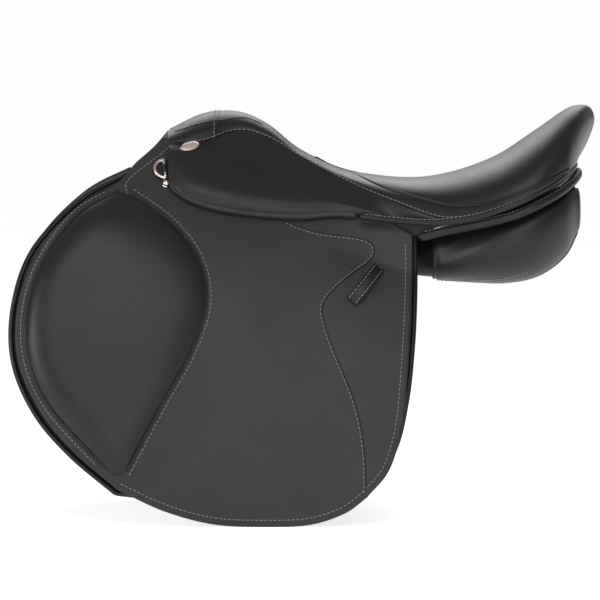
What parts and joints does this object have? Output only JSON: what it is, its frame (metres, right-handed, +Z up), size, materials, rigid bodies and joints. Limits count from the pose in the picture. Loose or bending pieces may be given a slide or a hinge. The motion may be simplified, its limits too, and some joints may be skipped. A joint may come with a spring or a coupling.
{
  "type": "english saddle",
  "caption": "Leather jumping saddle: sprung seat on a tree, lifting flaps with knee pads, skirts over stirrup bars, girth straps and flocked panels.",
  "frame": {"origin": "on the saddle's centre plane, level with the lowest line of the rear panels, below the deepest part of the seat (mount horse_back)", "axes": "+X to the rear, towards the cantle; +Z up; the near (left) side of the horse is -Y"},
  "size_m": [0.6347, 0.4164, 0.4469],
  "materials": {
    "smooth_leather": "smooth satin black, fine grain",
    "flap_leather": "matt black calf, pebbled",
    "lining_leather": "soft black panel leather",
    "strap_leather": "firm waxed black bridle leather",
    "nickel": "polished nickel with a faint rose tint",
    "badge_metal": "brushed rose nickel",
    "steel": "drawn steel",
    "tree_wood": "laminated beech, sealed",
    "webbing": "woven webbing",
    "foam": "dense latex foam"
  },
  "bodies": {
    "saddle": {"tree": "tree_wood", "left_tree_point": "tree_wood", "right_tree_point": "tree_wood", "gullet_plate": "steel", "gullet_rivets": "steel", "left_spring_steel": "steel", "right_spring_steel": "steel", "long_webbing": "webbing", "cross_webbing": "webbing", "webbing_tacks": "steel", "seat_foam": "foam", "seat_cover": "smooth_leather", "pommel_facing": "smooth_leather", "left_seat_side": "smooth_leather", "right_seat_side": "smooth_leather", "cantle_welt": "smooth_leather", "gullet_lining": "lining_leather", "left_panel": "lining_leather", "right_panel": "lining_leather", "left_gusset": "lining_leather", "right_gusset": "lining_leather", "left_stirrup_bar": "steel", "right_stirrup_bar": "steel", "bar_rivets": "steel", "left_sweat_flap": "lining_leather", "right_sweat_flap": "lining_leather", "left_knee_block": "lining_leather", "right_knee_block": "lining_leather", "left_thigh_block": "lining_leather", "right_thigh_block": "lining_leather", "left_girth_webs": "webbing", "right_girth_webs": "webbing", "left_flap_head": "flap_leather", "right_flap_head": "flap_leather", "left_badge": "badge_metal", "right_badge": "badge_metal", "left_ring_clip": "strap_leather", "right_ring_clip": "strap_leather", "ring_screws": "nickel"},
    "left_flap": {"left_flap": "flap_leather", "left_knee_pad": "smooth_leather", "left_keeper": "flap_leather"},
    "left_skirt": {"left_skirt": "smooth_leather"},
    "left_front_billet": {"left_front_billet": "strap_leather"},
    "left_middle_billet": {"left_middle_billet": "strap_leather"},
    "left_rear_billet": {"left_rear_billet": "strap_leather"},
    "left_buckle_guard": {"left_buckle_guard": "strap_leather"},
    "left_bar_catch": {"left_bar_catch": "steel"},
    "left_ring": {"left_ring": "nickel"},
    "right_flap": {"right_flap": "flap_leather", "right_knee_pad": "smooth_leather", "right_keeper": "flap_leather"},
    "right_skirt": {"right_skirt": "smooth_leather"},
    "right_front_billet": {"right_front_billet": "strap_leather"},
    "right_middle_billet": {"right_middle_billet": "strap_leather"},
    "right_rear_billet": {"right_rear_billet": "strap_leather"},
    "right_buckle_guard": {"right_buckle_guard": "strap_leather"},
    "right_bar_catch": {"right_bar_catch": "steel"},
    "right_ring": {"right_ring": "nickel"}
  },
  "joints": [
    {"name": "left_flap_lift", "type": "hinge", "parent": "saddle", "child": "left_flap", "pos_m": [-0.297, -0.113, 0.109], "axis": [-0.9604, 0, 0.2785], "range_deg": [0, 100]},
    {"name": "left_skirt_lift", "type": "hinge", "parent": "saddle", "child": "left_skirt", "pos_m": [-0.251, -0.086, 0.1516], "axis": [-0.9551, 0.0556, 0.2912], "range_deg": [0, 75]},
    {"name": "left_front_billet_lift", "type": "hinge", "parent": "saddle", "child": "left_front_billet", "pos_m": [-0.16, -0.12725, 0.008], "axis": [-0.9971, 0.0767, 0], "range_deg": [0, 40]},
    {"name": "left_middle_billet_lift", "type": "hinge", "parent": "saddle", "child": "left_middle_billet", "pos_m": [-0.12, -0.12163, 0.008], "axis": [-0.9971, 0.0767, 0], "range_deg": [0, 40]},
    {"name": "left_rear_billet_lift", "type": "hinge", "parent": "saddle", "child": "left_rear_billet", "pos_m": [-0.08, -0.1156, 0.008], "axis": [-0.9971, 0.0767, 0], "range_deg": [0, 40]},
    {"name": "left_guard_lift", "type": "hinge", "parent": "saddle", "child": "left_buckle_guard", "pos_m": [-0.186, -0.13744, 0.014], "axis": [-0.9893, -0.1462, 0], "range_deg": [0, 60]},
    {"name": "left_catch_turn", "type": "hinge", "parent": "saddle", "child": "left_bar_catch", "pos_m": [-0.14103, -0.09205, 0.10698], "axis": [0.1546, -0.8319, 0.5329], "range_deg": [0, 75]},
    {"name": "left_ring_swing", "type": "hinge", "parent": "saddle", "child": "left_ring", "pos_m": [-0.257, -0.0952, 0.131], "axis": [-0.0973, 0.524, 0.8462], "range_deg": [0, 80]},
    {"name": "right_flap_lift", "type": "hinge", "parent": "saddle", "child": "right_flap", "pos_m": [-0.297, 0.113, 0.109], "axis": [0.9604, 0, -0.2785], "range_deg": [0, 100]},
    {"name": "right_skirt_lift", "type": "hinge", "parent": "saddle", "child": "right_skirt", "pos_m": [-0.251, 0.086, 0.1516], "axis": [0.9551, 0.0556, -0.2912], "range_deg": [0, 75]},
    {"name": "right_front_billet_lift", "type": "hinge", "parent": "saddle", "child": "right_front_billet", "pos_m": [-0.16, 0.12725, 0.008], "axis": [0.9971, 0.0767, 0], "range_deg": [0, 40]},
    {"name": "right_middle_billet_lift", "type": "hinge", "parent": "saddle", "child": "right_middle_billet", "pos_m": [-0.12, 0.12163, 0.008], "axis": [0.9971, 0.0767, 0], "range_deg": [0, 40]},
    {"name": "right_rear_billet_lift", "type": "hinge", "parent": "saddle", "child": "right_rear_billet", "pos_m": [-0.08, 0.1156, 0.008], "axis": [0.9971, 0.0767, 0], "range_deg": [0, 40]},
    {"name": "right_guard_lift", "type": "hinge", "parent": "saddle", "child": "right_buckle_guard", "pos_m": [-0.186, 0.13744, 0.014], "axis": [0.9893, -0.1462, 0], "range_deg": [0, 60]},
    {"name": "right_catch_turn", "type": "hinge", "parent": "saddle", "child": "right_bar_catch", "pos_m": [-0.14103, 0.09205, 0.10698], "axis": [-0.1546, -0.8319, -0.5329], "range_deg": [0, 75]},
    {"name": "right_ring_swing", "type": "hinge", "parent": "saddle", "child": "right_ring", "pos_m": [-0.257, 0.0952, 0.131], "axis": [0.0973, 0.524, -0.8462], "range_deg": [0, 80]}
  ],
  "couplings": [
    {"joint": "left_front_billet_lift", "follows": "left_flap_lift", "ratio": 0.4},
    {"joint": "left_middle_billet_lift", "follows": "left_flap_lift", "ratio": 0.4},
    {"joint": "left_rear_billet_lift", "follows": "left_flap_lift", "ratio": 0.4},
    {"joint": "left_guard_lift", "follows": "left_flap_lift", "ratio": 0.6},
    {"joint": "right_front_billet_lift", "follows": "right_flap_lift", "ratio": 0.4},
    {"joint": "right_middle_billet_lift", "follows": "right_flap_lift", "ratio": 0.4},
    {"joint": "right_rear_billet_lift", "follows": "right_flap_lift", "ratio": 0.4},
    {"joint": "right_guard_lift", "follows": "right_flap_lift", "ratio": 0.6}
  ]
}
